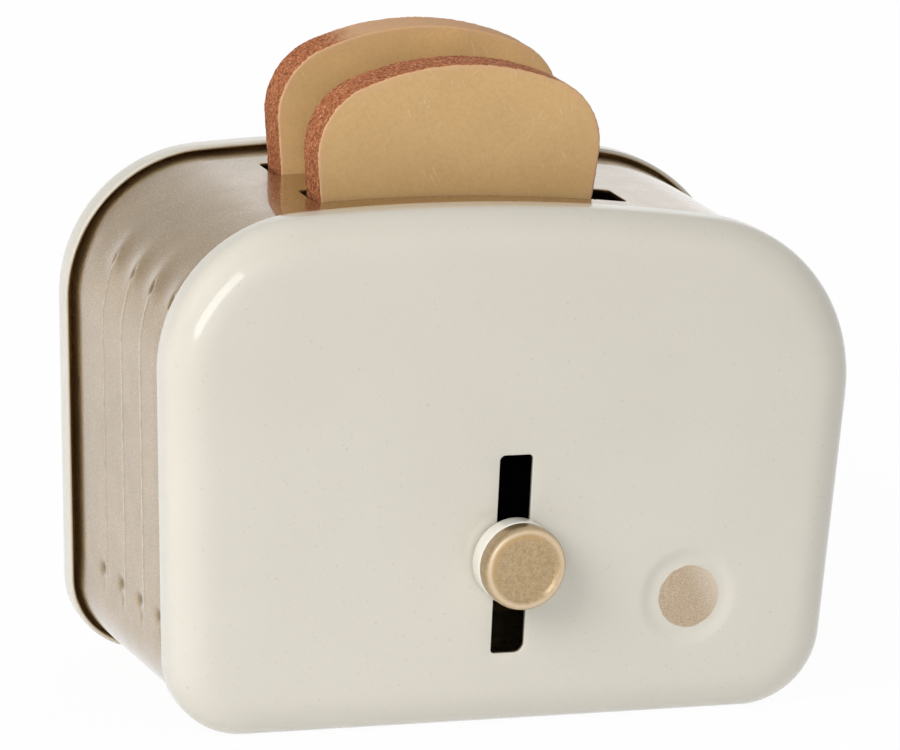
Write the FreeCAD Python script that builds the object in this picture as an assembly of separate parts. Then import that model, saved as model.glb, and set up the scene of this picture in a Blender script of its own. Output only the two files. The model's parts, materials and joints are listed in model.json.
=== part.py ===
import FreeCAD, Part
import math
import os

V = FreeCAD.Vector
os.makedirs("parts", exist_ok=True)

# Body outline, seen from the front (mm)
WIDTH = 69.0            # between the sides at half height
HEIGHT = 51.0           # resting face to the top of the crown
SIDE_LEAN = 3.3         # degrees each side leans out towards the top
CROWN_RADIUS = 190.0    # shallow arch of the top
CROWN_SHIFT = -8.0      # high point of the arch, left of the middle
LEFT_SHOULDER = 14.2    # radius of the top left corner
RIGHT_SHOULDER = 17.1   # radius of the top right corner, softer
FOOT_RADIUS = 7.8       # radius of the two bottom corners

# Covers
BODY_DEPTH = 37.3       # front face to back face
SKIRT = 4.6             # how far each cover reaches back over the band
COVER_SHEET = 0.45      # thickness of the pressed covers
FACE_ROUND = 2.5        # outer radius where the face turns into the skirt

# Band between the covers
BAND_GAP = 0.35         # open crevice between a cover's skirt and the band
BAND_SHEET = 0.35       # thickness of the band
BAND_SETBACK = 2.7      # band end to the cover's face
FLANGE_FIT = 0.02       # clearance of the band's flange inside the skirt
SEAM_LAP = 6.0          # width of the lap under the floor of the band
CREASE_COUNT = 4        # pressed creases on each side of the band
CREASE_PITCH = 5.7      # from one crease to the next
CREASE_FIRST = 6.2      # first crease, behind the front face
CREASE_WIDTH = 0.3
CREASE_RISE = 0.15
CREASE_LOW = 10.5       # height of the lower crease ends
CREASE_HIGH = 42.0      # height of the upper crease ends

# Bread slots in the top of the band, cut round the slices with this much air
BREAD_SLOT_PITCH = 11.5
BREAD_SLOT_FACE_AIR = 0.45  # in front of and behind a slice
BREAD_SLOT_LEFT_AIR = 0.1   # beyond the widest left edge of a slice
BREAD_SLOT_RIGHT_AIR = 2.9
BREAD_SLOT_CORNER = 0.5

# Bread slices
SLICE_WIDTH = 27.7          # at half height
SLICE_HEIGHT = 29.0
SLICE_THICKNESS = 4.2
SLICE_SHIFT = -3.2          # middle of the slices, left of the middle of the body
SLICE_SHOW = 11.9           # front slice's top above the top of the covers
SLICE_BACK_EXTRA = 1.4      # the back slice is cut this much taller
SLICE_LEAN = 6.5            # degrees each side leans out towards the top
SLICE_CROWN_RADIUS = 27.0
SLICE_SHOULDER = 7.0
SLICE_FOOT = 1.5

# Lever slot in the front cover
LEVER_SLOT_AIR = 0.48   # between the stem and each side of the slot
LEVER_SLOT_LOW = 7.4
LEVER_SLOT_HIGH = 27.0
LEVER_SLOT_CORNER = 0.5
LEVER_BELOW_MIDDLE = 0.4    # where the lever rests, below the middle of its slot

# Round dimple pressed into the front cover, painted in the middle
DIMPLE_X = 18.4
DIMPLE_Z = 12.1
DIMPLE_RIM_RADIUS = 4.9
DIMPLE_PAINT_RADIUS = 2.95
DIMPLE_DEPTH = 0.35

# Knob
KNOB_REACH = 4.0        # front face of the knob ahead of the cover's face
KNOB_RADIUS = 4.15
KNOB_THICKNESS = 1.8
KNOB_ROUND = 0.6
COLLAR_RADIUS = 4.2
COLLAR_GAP = 0.25       # air between the collar and the front cover
STEM_RADIUS = 1.2
STEM_IN_KNOB = 1.0
STEM_END_RADIUS = 0.8
STEM_END = 2.2          # thinner end of the stem behind the carriage plate
NUT_THICKNESS = 1.1
NUT_ACROSS_CORNERS = 3.6

# Friction washers behind the slot
WASHER_GAP = 0.2
WASHER_RADIUS = 3.2
WASHER_THICKNESS = 0.5
STEM_FIT = 0.05
FRICTION_SPRING_HEIGHT = 1.4
FRICTION_SPRING_SHEET = 0.3

# Guide rods and their brackets
ROD_RADIUS = 1.0
ROD_SPACING = 20.0
ROD_FIT = 0.05          # running clearance in the bushes
BUSH_SIZE = 3.8
BUSH_LENGTH = 8.0
SHELF_LOW = 3.2         # underside of the lower bracket's shelf
SHELF_TOP_GAP = 3.6     # upper shelf's top face to the crown
BRACKET_SHEET = 0.8
BRACKET_HALF_WIDTH = 13.0
BRACKET_FOOT = 4.0
BRACKET_MARGIN = 0.7    # shelf beyond the bushes, front and back
CLIP_RADIUS = 1.8
CLIP_THICKNESS = 0.5
CLIP_GAP = 0.1

# Carriage
CARRIAGE_SHEET = 0.8
CARRIAGE_HALF_WIDTH = 12.6
CARRIAGE_BELOW_LEVER = 4.5
ARM_X = 5.5
ARM_WIDTH = 3.0
ARM_BEYOND_TRAY = 0.6
TRAY_SHEET = 0.4
TRAY_CLEARANCE = 0.15
TRAY_LIP = 4.5
TRAY_SHORTER = 2.0      # tray shorter than the slice at each end

# Rivets
RIVET_RADIUS = 0.6
RIVET_HEAD_RADIUS = 1.1
RIVET_HEAD = 0.35
SEAM_RIVET_SPACING = 16.0

# How far a cutting body runs past the face that it cuts
OVERCUT = 1.0

# Places worked out from the sizes above
FRONT_Y = (KNOB_REACH - BODY_DEPTH) / 2
BACK_Y = FRONT_Y + BODY_DEPTH
MID_Y = (FRONT_Y + BACK_Y) / 2
BAND_INSET = COVER_SHEET + BAND_GAP
INNER_INSET = BAND_INSET + BAND_SHEET
FLOOR_Z = INNER_INSET
BAND_FRONT = FRONT_Y + BAND_SETBACK
BAND_BACK = BACK_Y - BAND_SETBACK
LEVER_Z = (LEVER_SLOT_LOW + LEVER_SLOT_HIGH) / 2 - LEVER_BELOW_MIDDLE
WASHER_Y = FRONT_Y + COVER_SHEET + WASHER_GAP
SPRING_Y = WASHER_Y + WASHER_THICKNESS
PLATE_Y = SPRING_Y + FRICTION_SPRING_HEIGHT
BUSH_Y = PLATE_Y + CARRIAGE_SHEET
ROD_Y = BUSH_Y + BUSH_SIZE / 2
SHELF_HIGH = HEIGHT - SHELF_TOP_GAP - BRACKET_SHEET
SLICE_FOOT_Z = HEIGHT + SLICE_SHOW - SLICE_HEIGHT
TRAY_Z = SLICE_FOOT_Z - TRAY_SHEET
ARM_Z = TRAY_Z - CARRIAGE_SHEET
TRAY_OUTER = SLICE_THICKNESS + 2 * (TRAY_CLEARANCE + TRAY_SHEET)
SLOT_YS = (MID_Y - BREAD_SLOT_PITCH / 2, MID_Y + BREAD_SLOT_PITCH / 2)
LEVER_SLOT_WIDTH = 2 * (STEM_RADIUS + LEVER_SLOT_AIR)
BREAD_SLOT_WIDTH = SLICE_THICKNESS + 2 * BREAD_SLOT_FACE_AIR


def outline_points(width, height, lean, crown, shift, shoulders, foot, inset):
    """Tangent points and arc centres of an arched outline, one side at a time."""
    crown_centre = V(shift, 0, height - crown)
    sides = []
    for side, shoulder in ((1, shoulders[1]), (-1, shoulders[0])):
        angle = math.radians(lean)
        up = V(side * math.sin(angle), 0, math.cos(angle))
        out = V(side * math.cos(angle), 0, -math.sin(angle))
        middle = V(side * width / 2, 0, height / 2)
        start = middle - out * shoulder - crown_centre
        along = start.dot(up)
        climb = -along + math.sqrt(along ** 2 - start.dot(start) + (crown - shoulder) ** 2)
        top = middle - out * shoulder + up * climb
        base = middle - out * foot
        low = base + up * ((foot - base.z) / up.z)
        to_top = (top - crown_centre).normalize()
        sides.append({
            "crown": crown_centre + to_top * (crown - inset),
            "shoulder": top + out * (shoulder - inset),
            "shoulder_mid": top + (to_top + out).normalize() * (shoulder - inset),
            "side": low + out * (foot - inset),
            "foot_mid": low + (out - V(0, 0, 1)).normalize() * (foot - inset),
            "foot": V(low.x, 0, inset),
        })
    return sides, crown_centre + V(0, 0, crown - inset)


def outline_face(points, y):
    """Face bounded by the outline, standing at depth y."""
    (right, left), apex = points
    edges = [
        Part.LineSegment(left["foot"], right["foot"]).toShape(),
        Part.Arc(right["foot"], right["foot_mid"], right["side"]).toShape(),
        Part.LineSegment(right["side"], right["shoulder"]).toShape(),
        Part.Arc(right["shoulder"], right["shoulder_mid"], right["crown"]).toShape(),
        Part.Arc(right["crown"], apex, left["crown"]).toShape(),
        Part.Arc(left["crown"], left["shoulder_mid"], left["shoulder"]).toShape(),
        Part.LineSegment(left["shoulder"], left["side"]).toShape(),
        Part.Arc(left["side"], left["foot_mid"], left["foot"]).toShape(),
    ]
    face = Part.Face(Part.Wire(edges))
    face.translate(V(0, y, 0))
    return face


def body_prism(inset, y_low, y_high):
    """Solid of the body's outline, moved in by inset, between two depths."""
    points = outline_points(WIDTH, HEIGHT, SIDE_LEAN, CROWN_RADIUS, CROWN_SHIFT,
                            (LEFT_SHOULDER, RIGHT_SHOULDER), FOOT_RADIUS, inset)
    return outline_face(points, y_low).extrude(V(0, y_high - y_low, 0))


def box(x_low, x_high, y_low, y_high, z_low, z_high):
    return Part.makeBox(x_high - x_low, y_high - y_low, z_high - z_low, V(x_low, y_low, z_low))


def rounded_box(x_low, x_high, y_low, y_high, z_low, z_high, axis, radius):
    """Box whose four edges along the given axis are rounded."""
    solid = box(x_low, x_high, y_low, y_high, z_low, z_high)
    edges = [e for e in solid.Edges if abs(e.tangentAt(e.FirstParameter).dot(axis)) > 0.99]
    return solid.makeFillet(radius, edges)


def rod(radius, start, length, axis):
    return Part.makeCylinder(radius, length, start, axis)


def ring(outer, inner, start, length, axis):
    return rod(outer, start, length, axis).cut(rod(inner, start, length, axis))


def edges_at(solid, y):
    """Edges that lie in the plane at depth y."""
    return [e for e in solid.Edges
            if all(abs(v.Point.y - y) < 1e-6 for v in e.Vertexes)]


def cover_shell(face_y, inward):
    """Pressed cover: flat face, rounded turn, skirt open on the inside."""
    mouth_y = face_y + inward * SKIRT
    inner_y = face_y + inward * COVER_SHEET
    outer = body_prism(0, min(face_y, mouth_y), max(face_y, mouth_y))
    outer = outer.makeFillet(FACE_ROUND, edges_at(outer, face_y))
    inner = body_prism(COVER_SHEET, min(inner_y, mouth_y), max(inner_y, mouth_y))
    inner = inner.makeFillet(FACE_ROUND - COVER_SHEET, edges_at(inner, inner_y))
    return outer.cut(inner)


def make_front_cover():
    cover = cover_shell(FRONT_Y, 1)
    behind = V(0, 1, 0)
    centre = V(DIMPLE_X, FRONT_Y, DIMPLE_Z)
    boss = Part.makeCone(DIMPLE_RIM_RADIUS, DIMPLE_PAINT_RADIUS, DIMPLE_DEPTH,
                         centre + behind * COVER_SHEET, behind)
    dish = Part.makeCone(DIMPLE_RIM_RADIUS, DIMPLE_PAINT_RADIUS, DIMPLE_DEPTH, centre, behind)
    half = LEVER_SLOT_WIDTH / 2
    slot = rounded_box(-half, half, FRONT_Y - OVERCUT, FRONT_Y + COVER_SHEET + OVERCUT,
                       LEVER_SLOT_LOW, LEVER_SLOT_HIGH, behind, LEVER_SLOT_CORNER)
    return cover.fuse(boss).cut(dish).cut(slot).removeSplitter()


def make_back_cover():
    return cover_shell(BACK_Y, -1)


def band_creases():
    """Thin raised lines on both sides, following the outline up into the shoulder."""
    skin = body_prism(BAND_INSET - CREASE_RISE, BAND_FRONT, BAND_BACK)
    skin = skin.cut(body_prism(BAND_INSET, BAND_FRONT, BAND_BACK))
    creases = []
    for number in range(CREASE_COUNT):
        y = FRONT_Y + CREASE_FIRST + number * CREASE_PITCH
        for x_low, x_high in ((-WIDTH, 0), (0, WIDTH)):
            strip = box(x_low, x_high, y - CREASE_WIDTH / 2, y + CREASE_WIDTH / 2,
                        CREASE_LOW, CREASE_HIGH)
            creases.append(skin.common(strip))
    return creases


def make_body_band():
    """Sheet wrapped round the body, flanged at both ends, with two bread slots."""
    band = body_prism(BAND_INSET, BAND_FRONT, BAND_BACK)
    band = band.cut(body_prism(INNER_INSET, BAND_FRONT, BAND_BACK))
    for y in (BAND_FRONT, BAND_BACK - BAND_SHEET):
        flange = body_prism(COVER_SHEET + FLANGE_FIT, y, y + BAND_SHEET)
        band = band.fuse(flange.cut(body_prism(INNER_INSET, y, y + BAND_SHEET)))
    for crease in band_creases():
        band = band.fuse(crease)
    lap = box(-SEAM_LAP / 2, SEAM_LAP / 2, BAND_FRONT, BAND_BACK, FLOOR_Z, FLOOR_Z + BAND_SHEET)
    band = band.fuse(lap)
    for rivet_y in seam_rivet_ys():
        band = band.cut(rod(RIVET_RADIUS, V(0, rivet_y, 0), 2 * INNER_INSET, V(0, 0, 1)))
    for rivet_x in bracket_rivet_xs():
        band = band.cut(rod(RIVET_RADIUS, V(rivet_x, ROD_Y, 0), INNER_INSET, V(0, 0, 1)))
    return band.cut(bread_slot(0)).cut(bread_slot(1)).removeSplitter()


def bread_slot(number):
    """Straight cut through the top of the band for one slice."""
    y = SLOT_YS[number]
    left = SLICE_SHIFT - slice_reach() - BREAD_SLOT_LEFT_AIR
    right = SLICE_SHIFT + slice_reach() + BREAD_SLOT_RIGHT_AIR
    return rounded_box(left, right,
                       y - BREAD_SLOT_WIDTH / 2, y + BREAD_SLOT_WIDTH / 2,
                       HEIGHT - LEFT_SHOULDER, HEIGHT + OVERCUT, V(0, 0, 1), BREAD_SLOT_CORNER)


def seam_rivet_ys():
    return (MID_Y - SEAM_RIVET_SPACING / 2, MID_Y + SEAM_RIVET_SPACING / 2)


def bracket_rivet_xs():
    reach = BRACKET_HALF_WIDTH + BRACKET_FOOT / 2
    return (-reach, reach)


def rivet(x, y, z_low, z_high):
    """Plain shank with a flat head at each end."""
    up = V(0, 0, 1)
    shank = rod(RIVET_RADIUS, V(x, y, z_low), z_high - z_low, up)
    low_head = rod(RIVET_HEAD_RADIUS, V(x, y, z_low - RIVET_HEAD), RIVET_HEAD, up)
    high_head = rod(RIVET_HEAD_RADIUS, V(x, y, z_high), RIVET_HEAD, up)
    return shank.fuse(low_head).fuse(high_head).removeSplitter()


def make_seam_rivets():
    top = FLOOR_Z + BAND_SHEET
    return Part.makeCompound([rivet(0, y, BAND_INSET, top) for y in seam_rivet_ys()])


def make_bracket_rivets():
    top = FLOOR_Z + BRACKET_SHEET
    return Part.makeCompound([rivet(x, ROD_Y, BAND_INSET, top) for x in bracket_rivet_xs()])


def rod_xs():
    return (-ROD_SPACING / 2, ROD_SPACING / 2)


def hat_bracket(shelf_z, foot_low, foot_high):
    """Shelf with the two rod holes, two legs and two feet turned outwards."""
    y_low = BUSH_Y - BRACKET_MARGIN
    y_high = BUSH_Y + BUSH_SIZE + BRACKET_MARGIN
    half = BRACKET_HALF_WIDTH
    leg_low = min(shelf_z, foot_low)
    leg_high = max(shelf_z + BRACKET_SHEET, foot_high)
    bracket = box(-half, half, y_low, y_high, shelf_z, shelf_z + BRACKET_SHEET)
    for side in (-1, 1):
        inner_x = side * (half - BRACKET_SHEET)
        outer_x = side * half
        foot_x = side * (half + BRACKET_FOOT)
        leg = box(min(inner_x, outer_x), max(inner_x, outer_x), y_low, y_high, leg_low, leg_high)
        foot = box(min(inner_x, foot_x), max(inner_x, foot_x), y_low, y_high, foot_low, foot_high)
        bracket = bracket.fuse(leg).fuse(foot)
    for x in rod_xs():
        hole = rod(ROD_RADIUS, V(x, ROD_Y, shelf_z), BRACKET_SHEET, V(0, 0, 1))
        bracket = bracket.cut(hole)
    return bracket.removeSplitter()


def make_lower_rod_bracket():
    bracket = hat_bracket(SHELF_LOW, FLOOR_Z, FLOOR_Z + BRACKET_SHEET)
    for x in bracket_rivet_xs():
        bracket = bracket.cut(rod(RIVET_RADIUS, V(x, ROD_Y, FLOOR_Z), BRACKET_SHEET, V(0, 0, 1)))
    return bracket


def make_upper_rod_bracket():
    """Feet lie against the arched underside of the band's top."""
    room = body_prism(INNER_INSET, BAND_FRONT, BAND_BACK)
    below = room.copy()
    below.translate(V(0, 0, -BRACKET_SHEET))
    half = BRACKET_HALF_WIDTH
    between = box(BRACKET_SHEET - half, half - BRACKET_SHEET, FRONT_Y, BACK_Y,
                  SHELF_HIGH + BRACKET_SHEET, HEIGHT)
    bracket = hat_bracket(SHELF_HIGH, SHELF_HIGH, HEIGHT).cut(between).common(room)
    for x_low, x_high in ((-WIDTH, -half), (half, WIDTH)):
        beside = box(x_low, x_high, FRONT_Y, BACK_Y, 0, HEIGHT)
        bracket = bracket.cut(beside.common(below))
    return bracket.removeSplitter()


def make_guide_rod(x):
    low = SHELF_LOW - CLIP_GAP - CLIP_THICKNESS - CLIP_GAP
    high = SHELF_HIGH + BRACKET_SHEET + CLIP_GAP + CLIP_THICKNESS + CLIP_GAP
    return rod(ROD_RADIUS, V(x, ROD_Y, low), high - low, V(0, 0, 1))


def make_rod_clips():
    """Spring clips that keep both rods in the two shelves."""
    low = SHELF_LOW - CLIP_GAP - CLIP_THICKNESS
    high = SHELF_HIGH + BRACKET_SHEET + CLIP_GAP
    clips = []
    for x in rod_xs():
        for z in (low, high):
            clip = ring(CLIP_RADIUS, ROD_RADIUS, V(x, ROD_Y, z), CLIP_THICKNESS, V(0, 0, 1))
            mouth = box(x - ROD_RADIUS / 2, x + ROD_RADIUS / 2, ROD_Y - CLIP_RADIUS, ROD_Y,
                        z, z + CLIP_THICKNESS)
            clips.append(clip.cut(mouth))
    return Part.makeCompound(clips)


def make_bush(x):
    """Square bearing block on the back of the carriage plate."""
    low = LEVER_Z - BUSH_LENGTH / 2
    block = box(x - BUSH_SIZE / 2, x + BUSH_SIZE / 2, BUSH_Y, BUSH_Y + BUSH_SIZE, low, low + BUSH_LENGTH)
    return block.cut(rod(ROD_RADIUS + ROD_FIT, V(x, ROD_Y, low), BUSH_LENGTH, V(0, 0, 1)))


def arm_xs():
    return (-ARM_X, ARM_X)


def make_carriage_frame():
    """Upright plate behind the slot, with two arms bent back under the trays."""
    arm_top = ARM_Z + CARRIAGE_SHEET
    low = LEVER_Z - CARRIAGE_BELOW_LEVER
    plate = box(-CARRIAGE_HALF_WIDTH, CARRIAGE_HALF_WIDTH, PLATE_Y, PLATE_Y + CARRIAGE_SHEET, low, arm_top)
    back_end = SLOT_YS[1] + TRAY_OUTER / 2 + ARM_BEYOND_TRAY
    for x in arm_xs():
        arm = box(x - ARM_WIDTH / 2, x + ARM_WIDTH / 2, PLATE_Y, back_end, ARM_Z, arm_top)
        plate = plate.fuse(arm)
        for y in SLOT_YS:
            plate = plate.cut(rod(RIVET_RADIUS, V(x, y, ARM_Z), CARRIAGE_SHEET, V(0, 0, 1)))
    stem_hole = rod(STEM_END_RADIUS, V(0, PLATE_Y, LEVER_Z), CARRIAGE_SHEET, V(0, 1, 0))
    return plate.cut(stem_hole).removeSplitter()


def make_bread_tray(y):
    """Open channel that holds the foot of one slice upright."""
    half_length = SLICE_WIDTH / 2 - TRAY_SHORTER
    x_low = SLICE_SHIFT - half_length
    x_high = SLICE_SHIFT + half_length
    outer = TRAY_OUTER / 2
    inner = outer - TRAY_SHEET
    tray = box(x_low, x_high, y - outer, y + outer, TRAY_Z, SLICE_FOOT_Z + TRAY_LIP)
    tray = tray.cut(box(x_low, x_high, y - inner, y + inner, SLICE_FOOT_Z, SLICE_FOOT_Z + TRAY_LIP))
    for x in arm_xs():
        tray = tray.cut(rod(RIVET_RADIUS, V(x, y, TRAY_Z), TRAY_SHEET, V(0, 0, 1)))
    return tray


def make_tray_rivets():
    """Countersunk flush on top, so that the slices stand level."""
    rivets = []
    for x in arm_xs():
        for y in SLOT_YS:
            shank = rod(RIVET_RADIUS, V(x, y, ARM_Z), CARRIAGE_SHEET + TRAY_SHEET, V(0, 0, 1))
            head = rod(RIVET_HEAD_RADIUS, V(x, y, ARM_Z - RIVET_HEAD), RIVET_HEAD, V(0, 0, 1))
            rivets.append(shank.fuse(head).removeSplitter())
    return Part.makeCompound(rivets)


def make_slot_washer():
    return ring(WASHER_RADIUS, STEM_RADIUS + STEM_FIT, V(0, WASHER_Y, LEVER_Z), WASHER_THICKNESS, V(0, 1, 0))


def make_friction_spring():
    """Dished spring washer between the slot washer and the carriage plate."""
    inner = STEM_RADIUS + STEM_FIT
    y_low = SPRING_Y
    y_high = PLATE_Y
    sheet = FRICTION_SPRING_SHEET
    corners = [V(inner, y_high - sheet, 0), V(inner, y_high, 0), V(inner + sheet, y_high, 0),
               V(WASHER_RADIUS, y_low + sheet, 0), V(WASHER_RADIUS, y_low, 0),
               V(WASHER_RADIUS - sheet, y_low, 0)]
    profile = Part.Face(Part.makePolygon(corners + [corners[0]]))
    washer = profile.revolve(V(0, 0, 0), V(0, 1, 0), 360)
    washer.translate(V(0, 0, LEVER_Z))
    return washer


def make_lever_stem():
    start = FRONT_Y - KNOB_REACH + KNOB_THICKNESS - STEM_IN_KNOB
    back = V(0, 1, 0)
    shank = rod(STEM_RADIUS, V(0, start, LEVER_Z), PLATE_Y - start, back)
    end = rod(STEM_END_RADIUS, V(0, PLATE_Y, LEVER_Z), CARRIAGE_SHEET + STEM_END, back)
    return shank.fuse(end).removeSplitter()


def make_stem_nut():
    """Hexagon nut that clamps the carriage plate to the stem."""
    y = PLATE_Y + CARRIAGE_SHEET
    corners = []
    for turn in range(6):
        angle = math.radians(60 * turn)
        reach = NUT_ACROSS_CORNERS / 2
        corners.append(V(reach * math.cos(angle), y, LEVER_Z + reach * math.sin(angle)))
    body = Part.Face(Part.makePolygon(corners + [corners[0]])).extrude(V(0, NUT_THICKNESS, 0))
    return body.cut(rod(STEM_END_RADIUS, V(0, y, LEVER_Z), NUT_THICKNESS, V(0, 1, 0)))


def make_knob_collar():
    start = FRONT_Y - KNOB_REACH + KNOB_THICKNESS
    length = FRONT_Y - COLLAR_GAP - start
    return ring(COLLAR_RADIUS, STEM_RADIUS, V(0, start, LEVER_Z), length, V(0, 1, 0))


def make_lever_knob():
    """Round cap with a softened front edge, blind bored for the stem."""
    front = FRONT_Y - KNOB_REACH
    back = V(0, 1, 0)
    cap = rod(KNOB_RADIUS, V(0, front, LEVER_Z), KNOB_THICKNESS, back)
    cap = cap.makeFillet(KNOB_ROUND, edges_at(cap, front))
    bore_start = front + KNOB_THICKNESS - STEM_IN_KNOB
    return cap.cut(rod(STEM_RADIUS, V(0, bore_start, LEVER_Z), STEM_IN_KNOB, back))


def slice_outline(extra):
    return outline_points(SLICE_WIDTH, SLICE_HEIGHT + extra, SLICE_LEAN, SLICE_CROWN_RADIUS, 0,
                          (SLICE_SHOULDER, SLICE_SHOULDER), SLICE_FOOT, 0)


def slice_reach():
    """Middle of the back slice to its widest point, in the curve of the shoulder."""
    (right, left), apex = slice_outline(SLICE_BACK_EXTRA)
    return right["shoulder"].x + SLICE_SHOULDER * (1 - math.cos(math.radians(SLICE_LEAN)))


def make_slice(y, extra):
    """Wooden bread slice with an arched top, narrower at its foot."""
    slice_solid = outline_face(slice_outline(extra), y - SLICE_THICKNESS / 2).extrude(V(0, SLICE_THICKNESS, 0))
    slice_solid.translate(V(SLICE_SHIFT, 0, SLICE_FOOT_Z))
    return slice_solid


def make_parts():
    left_x, right_x = rod_xs()
    return {
        "front_cover": make_front_cover(),
        "back_cover": make_back_cover(),
        "body_band": make_body_band(),
        "seam_rivets": make_seam_rivets(),
        "lower_rod_bracket": make_lower_rod_bracket(),
        "upper_rod_bracket": make_upper_rod_bracket(),
        "bracket_rivets": make_bracket_rivets(),
        "guide_rod_left": make_guide_rod(left_x),
        "guide_rod_right": make_guide_rod(right_x),
        "rod_clips": make_rod_clips(),
        "carriage_frame": make_carriage_frame(),
        "carriage_bush_left": make_bush(left_x),
        "carriage_bush_right": make_bush(right_x),
        "bread_tray_front": make_bread_tray(SLOT_YS[0]),
        "bread_tray_back": make_bread_tray(SLOT_YS[1]),
        "tray_rivets": make_tray_rivets(),
        "slot_washer": make_slot_washer(),
        "friction_spring": make_friction_spring(),
        "lever_stem": make_lever_stem(),
        "stem_nut": make_stem_nut(),
        "knob_collar": make_knob_collar(),
        "lever_knob": make_lever_knob(),
        "toast_front": make_slice(SLOT_YS[0], 0),
        "toast_back": make_slice(SLOT_YS[1], SLICE_BACK_EXTRA),
    }


for name, shape in make_parts().items():
    shape.exportStep("parts/" + name + ".step")
    print(name, "solids", len(shape.Solids), "volume", round(shape.Volume, 2), "valid", shape.isValid())
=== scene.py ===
import json
import math

import bmesh
import bpy
from mathutils import Matrix, Vector, noise
from mathutils.geometry import delaunay_2d_cdt


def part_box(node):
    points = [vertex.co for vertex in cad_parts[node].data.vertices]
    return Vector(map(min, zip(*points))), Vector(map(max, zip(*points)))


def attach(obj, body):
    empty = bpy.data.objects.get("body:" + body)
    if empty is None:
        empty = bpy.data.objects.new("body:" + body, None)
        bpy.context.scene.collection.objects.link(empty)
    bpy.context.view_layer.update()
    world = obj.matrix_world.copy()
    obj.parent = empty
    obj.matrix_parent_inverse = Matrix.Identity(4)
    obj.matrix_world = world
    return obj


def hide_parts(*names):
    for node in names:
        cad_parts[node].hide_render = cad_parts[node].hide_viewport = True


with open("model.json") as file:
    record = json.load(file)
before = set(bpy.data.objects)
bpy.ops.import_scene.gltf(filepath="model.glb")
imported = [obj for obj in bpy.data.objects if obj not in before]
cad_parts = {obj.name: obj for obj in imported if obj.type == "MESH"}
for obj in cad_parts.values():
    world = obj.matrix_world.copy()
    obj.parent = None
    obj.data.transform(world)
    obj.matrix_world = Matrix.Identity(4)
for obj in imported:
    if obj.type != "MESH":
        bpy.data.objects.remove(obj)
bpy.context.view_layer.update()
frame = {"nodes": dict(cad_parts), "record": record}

MM = 0.001
SHADE = "shade"

# Body outline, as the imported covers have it
WIDTH = 69.0 * MM
SIDE_LEAN = math.radians(3.3)
CROWN_RADIUS = 190.0 * MM
CROWN_SHIFT = -8.0 * MM
LEFT_SHOULDER = 14.2 * MM
RIGHT_SHOULDER = 17.1 * MM
FOOT_RADIUS = 7.8 * MM

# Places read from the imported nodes
FRONT_LOW, FRONT_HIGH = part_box("front_cover")
BAND_LOW, BAND_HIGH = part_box("body_band")
KNOB_LOW, KNOB_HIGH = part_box("lever_knob")
COLLAR_LOW, COLLAR_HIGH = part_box("knob_collar")
BREAD_LOW, BREAD_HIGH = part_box("toast_back")
HEIGHT = FRONT_HIGH.z
FRONT_Y = FRONT_LOW.y
BACK_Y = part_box("back_cover")[1].y
SKIRT = FRONT_HIGH.y - FRONT_Y
MIDDLE_Y = (FRONT_Y + BACK_Y) / 2
LEVER_Z = (KNOB_LOW.z + KNOB_HIGH.z) / 2

# Covers
COVER_SHEET = 0.45 * MM
FACE_TURN_WIDE = 4.0 * MM   # the turn from the face to the skirt is softer on the face
FACE_TURN_DEEP = 2.5 * MM
FACE_INSET = 6.5 * MM       # the face is filled inside this distance from the outline
DOME_WIDTH = 10.0 * MM      # the face starts to fall back this far from its edge
DOME_BASE_WIDTH = 6.5 * MM
DOME_DROP = 0.4 * MM

# Lever slot
SLOT_HALF = 1.68 * MM
SLOT_LOW = 7.4 * MM
SLOT_HIGH = 27.0 * MM
SLOT_CORNERS = (0.4 * MM, 0.95 * MM, 0.45 * MM, 0.55 * MM)   # from the lower left one, anticlockwise
SLOT_EDGE = 0.1 * MM

# Dimple
DIMPLE_X = 18.4 * MM
DIMPLE_Z = 12.1 * MM
DIMPLE_RIM = 5.15 * MM
DIMPLE_MOAT = 3.6 * MM
DIMPLE_MOAT_DEPTH = 0.26 * MM
DIMPLE_MIDDLE_DEPTH = 0.02 * MM
DISC_X = DIMPLE_X + 0.2 * MM
DISC_Z = DIMPLE_Z - 0.1 * MM
DISC_RADIUS = 3.1 * MM

# Knob
KNOB_DISH = 0.2 * MM        # the flat middle lies this far behind the rim's crest
KNOB_FLAT = 2.9 * MM
KNOB_ROUND = 0.6 * MM
KNOB_AMBER = 3.2 * MM       # painted amber reflection on this ring, on the upper left
KNOB_CREST = 3.7 * MM       # and a painted highlight on this ring
KNOB_BACK_ROUND = 0.2 * MM
COLLAR_ROUND = 0.25 * MM
COLLAR_FLAT = 2.6 * MM
STEM_RADIUS = 1.2 * MM
STEM_IN_KNOB = 1.0 * MM

# Band
BAND_INSET = 0.8 * MM
BAND_SHEET = 0.35 * MM
FLANGE_INSET = 0.47 * MM
ROLL_WIDTH = 5.4 * MM       # the sheet turns in this far from each end, on the sides
ROLL_HIDDEN = 1.8 * MM      # part of that under the covers, where it runs straight
ROLL_DROP = 0.14 * MM
CREASE_COUNT = 4
CREASE_PITCH = 5.7 * MM
CREASE_FIRST = 6.2 * MM
CREASE_LOW = 10.5 * MM
CREASE_HIGH = 42.0 * MM
CREASE_RISE = 0.07 * MM
CREASE_SPREAD = 0.12 * MM
CREASE_FADE = 1.2 * MM      # each crease eases out over this length at its ends
MARKS_ABOVE = 14 * MM       # the band is plain past these distances from the creases' ends
MARKS_BELOW = 6 * MM

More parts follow.
